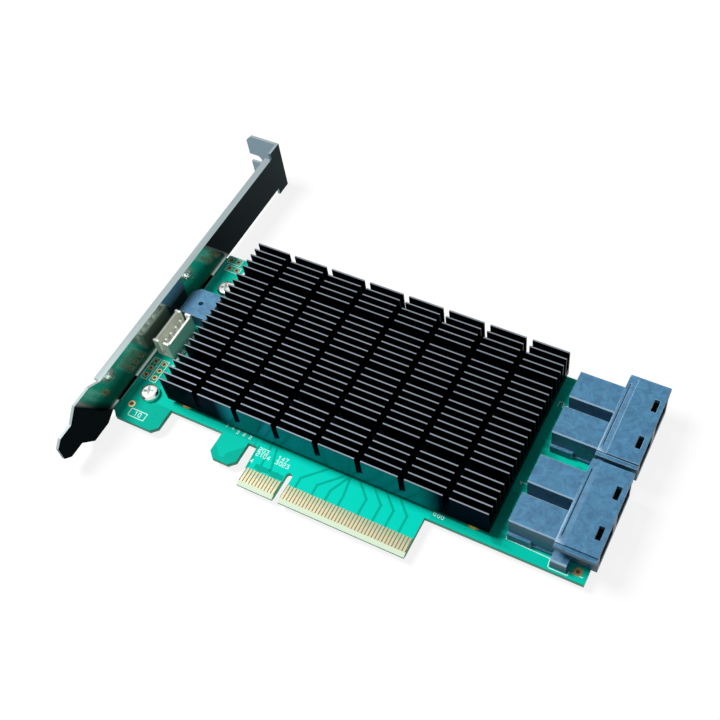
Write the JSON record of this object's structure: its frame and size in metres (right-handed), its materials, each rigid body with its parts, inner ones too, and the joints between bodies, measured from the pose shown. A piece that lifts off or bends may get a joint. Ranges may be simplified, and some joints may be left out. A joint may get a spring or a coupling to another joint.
{
  "type": "host bus adapter",
  "caption": "Expansion card with an edge connector, slot bracket, cross-cut finned heatsink and double storage ports at its far end.",
  "frame": {"origin": "middle of the key notch in X, lowest edge of the edge connector in Y, component face of the board in Z", "axes": "+X from the bracket to the storage ports, +Y from the card edge to the top edge, +Z out of the component side; the card lies component side up"},
  "size_m": [0.1565, 0.1209, 0.0184],
  "materials": {
    "solder_mask": "satin solder mask over glass-fibre laminate",
    "gold_plate": "hard gold over nickel",
    "plated_steel": "nickel plated mild steel",
    "nickel_screw": "bright nickel",
    "black_anodised": "black anodised aluminium",
    "brass_spacer": "turned brass",
    "chip_mould": "moulded epoxy",
    "thermal_pad": "soft silicone pad",
    "ferrite": "pressed ferrite",
    "ceramic": "fired ceramic",
    "white_nylon": "moulded nylon",
    "tinned_pin": "tin plated brass",
    "slate_moulding": "glass-filled moulding"
  },
  "bodies": {
    "root": {"circuit_board": "solder_mask", "edge_contacts_top": "gold_plate", "edge_contacts_bottom": "gold_plate", "slot_bracket": "plated_steel", "bracket_screws": "nickel_screw", "heatsink": "black_anodised", "heatsink_spacers": "brass_spacer", "heatsink_screws": "nickel_screw", "switch_chip": "chip_mould", "controller_chips": "chip_mould", "thermal_pads": "thermal_pad", "flash_chips": "chip_mould", "clock_crystals": "nickel_screw", "regulator_chips": "chip_mould", "power_inductors": "ferrite", "ceramic_capacitors": "ceramic", "chip_resistors": "ceramic", "header_housing": "white_nylon", "header_pins": "tinned_pin", "buzzer": "slate_moulding", "port_1_shroud": "slate_moulding", "port_1_contact_case": "slate_moulding", "port_1_contacts": "gold_plate", "port_2_shroud": "slate_moulding", "port_2_contact_case": "slate_moulding", "port_2_contacts": "gold_plate"}
  },
  "joints": []
}
